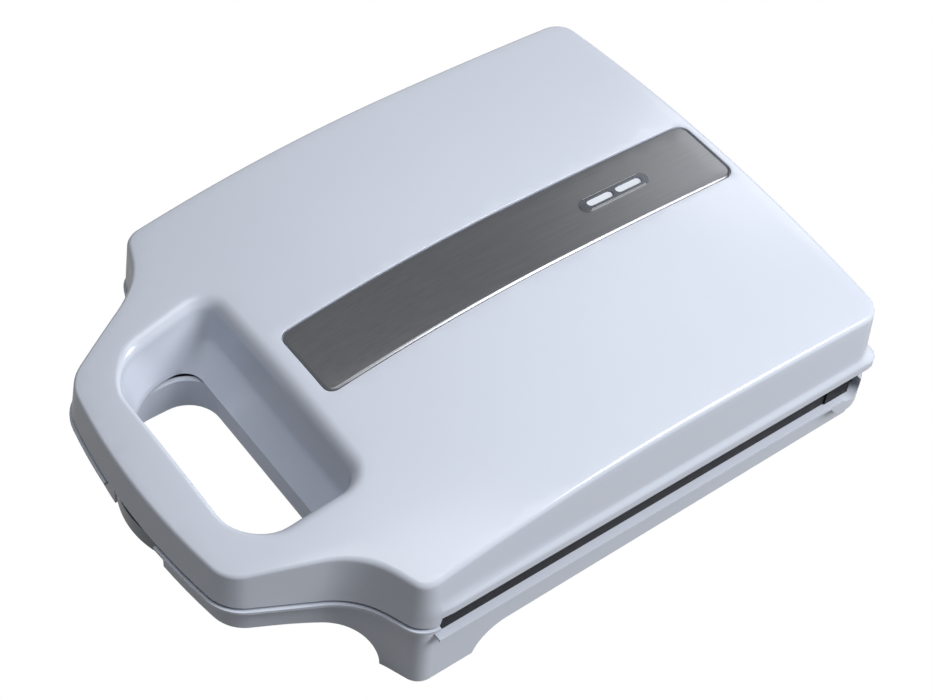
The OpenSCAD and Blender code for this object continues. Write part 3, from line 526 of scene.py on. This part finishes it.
# The share of the wall's height with close steps, for the cove, and the steps in it and above it.
COVE_SHARE, COVE_STEPS, WALL_STEPS = 0.26, 11, 6
POCKET_RIM, WIDE_RIM, CREASE_Z = 2.2, 3.6, 53.5
# Ranges of the Y part of the mouth's outward rays, which is -1 in front and 1 behind.
OFF_THE_FRONT, ON_THE_BACK = (-0.95, -0.1), (0.1, 0.8)
# Shares of the slopes above and below the crease at which its bend starts and ends.
BEND_FROM, BEND_TO = 0.9, 0.2
STRIP_GAP, SEAT_DEPTH, SEAT_EDGE_R, SEAT_UNDER = 0.5, 1.4, 0.3, 3.0


def box_corners(half_front, half_back, front, rear, front_r, rear_r):
    """Four corners of a shape that is half_front wide each side in front and half_back behind."""
    right_side = [(half_front, front, front_r), (half_back, rear, rear_r)]
    return right_side + [(-x, y, r) for x, y, r in reversed(right_side)]


POCKET_MOUTH = box_corners(50.4, 53.4, -125.2, -76.5, 19.5, 8.0)
POCKET_CREASE = box_corners(49.4, 51.0, -125.6, -78.2, 26.0, 8.0)
POCKET_FOOT = box_corners(48.0, 48.0, -126.0, -87.8, 29.0, 8.5)
POCKET_STEPS = (10, (12, 24, 12, 24))
STRIP = box_corners(17.5, 17.5, -65.8, 137.8, 4.0, 5.0)
STRIP_STEPS = (6, (34, 6, 34, 6))
UNDIVIDED = 1e6


def paired(corners, arc, runs):
    """Points and normals with a fixed count along each arc and run, so that unlike rings match."""
    spots, rays = outline(corners, arc, UNDIVIDED)
    points, normals = [], []
    for i, run in enumerate(runs):
        arc_part = slice(i * (arc + 1), (i + 1) * (arc + 1))
        end, begin = spots[arc_part][-1], spots[(i + 1) * (arc + 1) % len(spots)]
        inner = np.linspace(0, 1, run + 1)[1:-1, None]
        points += [*spots[arc_part], *(end + (begin - end) * inner)]
        normals += [*rays[arc_part], *np.repeat(rays[arc_part][-1:], len(inner), 0)]
    return np.array(points), np.array(normals)


def on_crown(points, drop=0.0):
    return lifted(points, crown(points[:, 0], points[:, 1]) - drop)


def square_corner(x, y):
    """How much further out the lip's rear corners reach than an even overhang would."""
    across, along = np.abs(x) - REAR_CENTRE[0], y - REAR_CENTRE[1]
    turned = (across > 0) & (along > 0)
    angle = np.arctan2(np.where(turned, along, 0.0), np.where(turned, across, 1.0))
    reach = REAR_R + OVERHANG
    centre = reach - LIP_CORNER_R
    toward = centre * (np.cos(angle) + np.sin(angle))
    bend = toward ** 2 - 2 * centre ** 2 + LIP_CORNER_R ** 2
    low_angle = np.minimum(angle, math.pi / 2 - angle)
    straight = low_angle < math.atan2(centre, reach)
    far = np.where(straight, reach / np.cos(low_angle), toward + np.sqrt(np.maximum(bend, 0.0)))
    return np.where(turned, far - reach, 0.0)


def lid_wall(skin):
    """The wall from its rim up over the rounded edge. Returns the ring at which the crown starts."""
    near_windows = [(0, sign * (x + d)) for sign in (-1, 1) for x in WINDOWS
                    for d in (-WINDOW_BLEND, WINDOW_BLEND)]
    near_step = [(1, STEP_Y + d * STEP_BLEND) for d in (-1.0, -0.5, 0.0, 0.5, 1.0)]
    points, rays = outline(LID_PLAN, arc=10, run=6.0, cuts=near_windows + near_step)
    x, y = points.T
    side = smoothstep(y, *SIDE_BLEND)
    low = FRONT_LOW + (SIDE_LOW - FRONT_LOW) * smoothstep(y, STEP_Y - STEP_BLEND, STEP_Y + STEP_BLEND)
    in_window = (np.abs(x) > WINDOWS[0]) & (np.abs(x) < WINDOWS[1]) & (y > BACK - AT_THE_BACK)
    low = np.where(in_window, WINDOW_Z, low)
    edge = EDGE_R + (FRONT_EDGE_R - EDGE_R) * smoothstep(-y, *EDGE_BLEND)
    top = crown(x, y) - edge
    squarer = square_corner(x, y)

    def flare(z):
        """How far the wall stands out: a draft in front, and a draft and a cove along the sides."""
        draft = FRONT_OUT * np.clip((top - z) / (top - FRONT_LOW), 0, 1)
        slope = SIDE_DRAFT * np.clip((top - z) / (top - COVE_TOP), 0, 1)
        cove = (OVERHANG - SIDE_DRAFT) * smoothstep(-z, -COVE_TOP, -COVE_LOW)
        return draft * (1 - side) + (slope + cove * (1 + squarer / (OVERHANG - SIDE_DRAFT))) * side

    rings = []
    for inward, drop in reversed(rounded_edge(LIP_R, steps=3)):
        rings.append(lifted(points + rays * (flare(low + LIP_R) - inward)[:, None], low + drop))
    cove_part = np.linspace(0.0, COVE_SHARE, COVE_STEPS + 1)[1:]
    upper_part = np.linspace(COVE_SHARE, 1.0, WALL_STEPS + 1)[1:]
    for share in (*cove_part, *upper_part):
        z = low + LIP_R + (top - low - LIP_R) * share
        rings.append(lifted(points + rays * flare(z)[:, None], z))
    rings += [on_crown(points - rays * edge[:, None] * inward, edge * drop)
              for inward, drop in rounded_edge(1.0)[1:]]
    skin.rings(rings)
    return rings[-1][:, :2]


def lid_pocket(skin):
    """The finger pocket: a rounded mouth, steep walls, and a back that slopes down to the opening."""
    mouth, mouth_rays = paired(POCKET_MOUTH, *POCKET_STEPS)
    crease, _ = paired(POCKET_CREASE, *POCKET_STEPS)
    foot, foot_rays = paired(POCKET_FOOT, *POCKET_STEPS)
    facing = mouth_rays[:, 1]
    rim = (POCKET_RIM + WIDE_RIM * smoothstep(facing, *OFF_THE_FRONT))[:, None]
    rings = [on_crown(mouth + mouth_rays * rim * out, rim[:, 0] * drop)
             for out, drop in reversed(rounded_edge(1.0, steps=8))]
    mouth_ring = rings[-1]
    foot_ring = lifted(foot, FRONT_LOW + LIP_R)
    at_back = smoothstep(facing, *ON_THE_BACK)[:, None]
    halfway = (mouth_ring + foot_ring) / 2
    crease_ring = at_back * lifted(crease, CREASE_Z) + (1 - at_back) * halfway
    above = mouth_ring + (crease_ring - mouth_ring) * BEND_FROM
    below = crease_ring + (foot_ring - crease_ring) * BEND_TO
    rings += [mouth_ring + (above - mouth_ring) * t for t in shares(4)]
    rings += [(1 - t) ** 2 * above + 2 * t * (1 - t) * crease_ring + t * t * below for t in shares(5)]
    rings += [below + (foot_ring - below) * t for t in shares(3)]
    rings += [lifted(foot + foot_rays * outward, FRONT_LOW + drop)
              for outward, drop in rounded_edge(LIP_R, steps=3)[1:]]
    skin.rings(rings)
    return rings[0][:, :2]


def strip_recess(skin):
    """The shallow seat of the steel strip, with a softened edge."""
    seat, rays = paired(STRIP, *STRIP_STEPS)
    rings = [on_crown(seat + rays * (STRIP_GAP + out), drop)
             for out, drop in reversed(rounded_edge(SEAT_EDGE_R, steps=3))]
    rings += [on_crown(seat + rays * spread, SEAT_DEPTH) for spread in (STRIP_GAP, -SEAT_UNDER)]
    skin.rings(rings)
    skin.fill(rings[-1][:, :2], [], lambda x, y: crown(x, y) - SEAT_DEPTH, pitch=12.0)
    return rings[0][:, :2]


skin = Skin()
crown_edge = lid_wall(skin)
skin.fill(crown_edge, [lid_pocket(skin), strip_recess(skin)], crown, pitch=5.0)
lid_shell = skin.object("lid_shell", FINISH["housing_white"])
shell = lid_shell.modifiers.new("wall", "SOLIDIFY")
shell.thickness = SHELL_T * MM
shell.offset = -1.0
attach(lid_shell, "lid")
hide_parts("upper_housing")

# ---------------------------------------------------------------- trim strip

BEZEL_Y, BEZEL_L, BEZEL_W, LAMP_HOLE_IN = FRONT + 229.4, 35.0, 7.2, 0.6
# From the folded-under flange up over the pressed bevel, as (distance inward, drop).
STRIP_EDGE = ((1.0, 1.2), (0.0, 1.2), (0.0, 0.62), (0.06, 0.56), (0.86, 0.04), (0.95, 0.01), (1.05, 0.0))
# Over the rounded top of the rim from outside to inside, as (distance inward, height).
RIM_PROFILE = ((-0.1, -0.3), (-0.1, 0.15), (0.0, 0.42), (0.2, 0.56), (0.5, 0.56), (0.75, 0.48), (0.8, 0.3))


def bezel_slot(inward):
    """A slot with round ends along Y, the bezel's outline brought inward."""
    angles = np.linspace(0, math.pi, 13)
    length, width = BEZEL_L - 2 * inward, BEZEL_W - 2 * inward
    ends = (length - width) / 2
    half_turn = np.column_stack([np.cos(angles), np.sin(angles)]) * width / 2
    return np.concatenate([half_turn + (0, BEZEL_Y + ends), -half_turn + (0, BEZEL_Y - ends)])


def trim_strip(skin):
    """The steel strip with a pressed bevel all round, open under the lamp bezel."""
    edge, rays = paired(STRIP, *STRIP_STEPS)
    rings = [on_crown(edge - rays * inward, drop) for inward, drop in STRIP_EDGE]
    skin.rings(rings)
    skin.fill(rings[-1][:, :2], [bezel_slot(LAMP_HOLE_IN)], crown, pitch=7.0)


skin = Skin()
trim_strip(skin)
strip = skin.object("strip", FINISH["strip_steel"], sharp=50.0)
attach(strip, "lid")
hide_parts("trim_strip")

# ---------------------------------------------------------------- raised rim round the lamp bezel

skin = Skin()
skin.rings([on_crown(bezel_slot(inward), -height) for inward, height in RIM_PROFILE])
bezel_rim = skin.object("bezel_rim", FINISH["reflector_steel"], sharp=50.0)
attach(bezel_rim, "lid")

# ---------------------------------------------------------------- painted shade: black disc in the cup at each hinge and black plate in the gap before it

BARREL_R = 12.0
CUP_X, CUP_Y, CUP_Z, CUP_R = 101.0, BACK + OVERHANG - BARREL_R, 36.0, 5.9
CUP_FLOOR = ((0.0, CUP_R), (0.9, CUP_R), (1.2, CUP_R - 0.3))
# The upright black plate in front of each cup, painted shade in the gap under the lid's lip: its corners
# (y, z) and its two distances from the middle.
PLATE_PLAN = [(121.3, 32.0), (134.2, 32.0), (134.2, 40.0), (121.3, 40.0)]
PLATE_X = (104.3, 104.9)

for name, side in (("cup_shade_left", -1), ("cup_shade_right", 1)):
    skin = Skin()
    skin.lathe((side * CUP_X, CUP_Y, CUP_Z), (side, 0, 0), CUP_FLOOR, steps=40)
    skin.tube([[(side * x, y, z) for y, z in PLATE_PLAN[::side]] for x in PLATE_X])
    # Painted shade: these pieces are black only to darken the shadowed cup and gap.
    cup_shade = skin.object(name, FINISH["frame_black"])
    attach(cup_shade, "base")

# ---------------------------------------------------------------- softened edges of the plain pieces

# Width of each rounding, in millimetres.
SOFT_EDGES = {
    "lower_housing": 0.5, "base_ears": 0.5, "lid_knuckles": 0.5, "lamp_bezel": 0.45, "power_lens": 0.6,
    "ready_lens": 0.6, "latch_clip": 0.5, "upper_frame": 0.3, "lower_frame": 0.3, "cord_bushing": 0.3,
}
for name, width in SOFT_EDGES.items():
    bevel = nodes[name].modifiers.new("soft_edge", "BEVEL")
    bevel.width = width * MM
    bevel.segments = 3
    bevel.limit_method = "ANGLE"
    bevel.angle_limit = math.radians(35)
    bevel.harden_normals = True
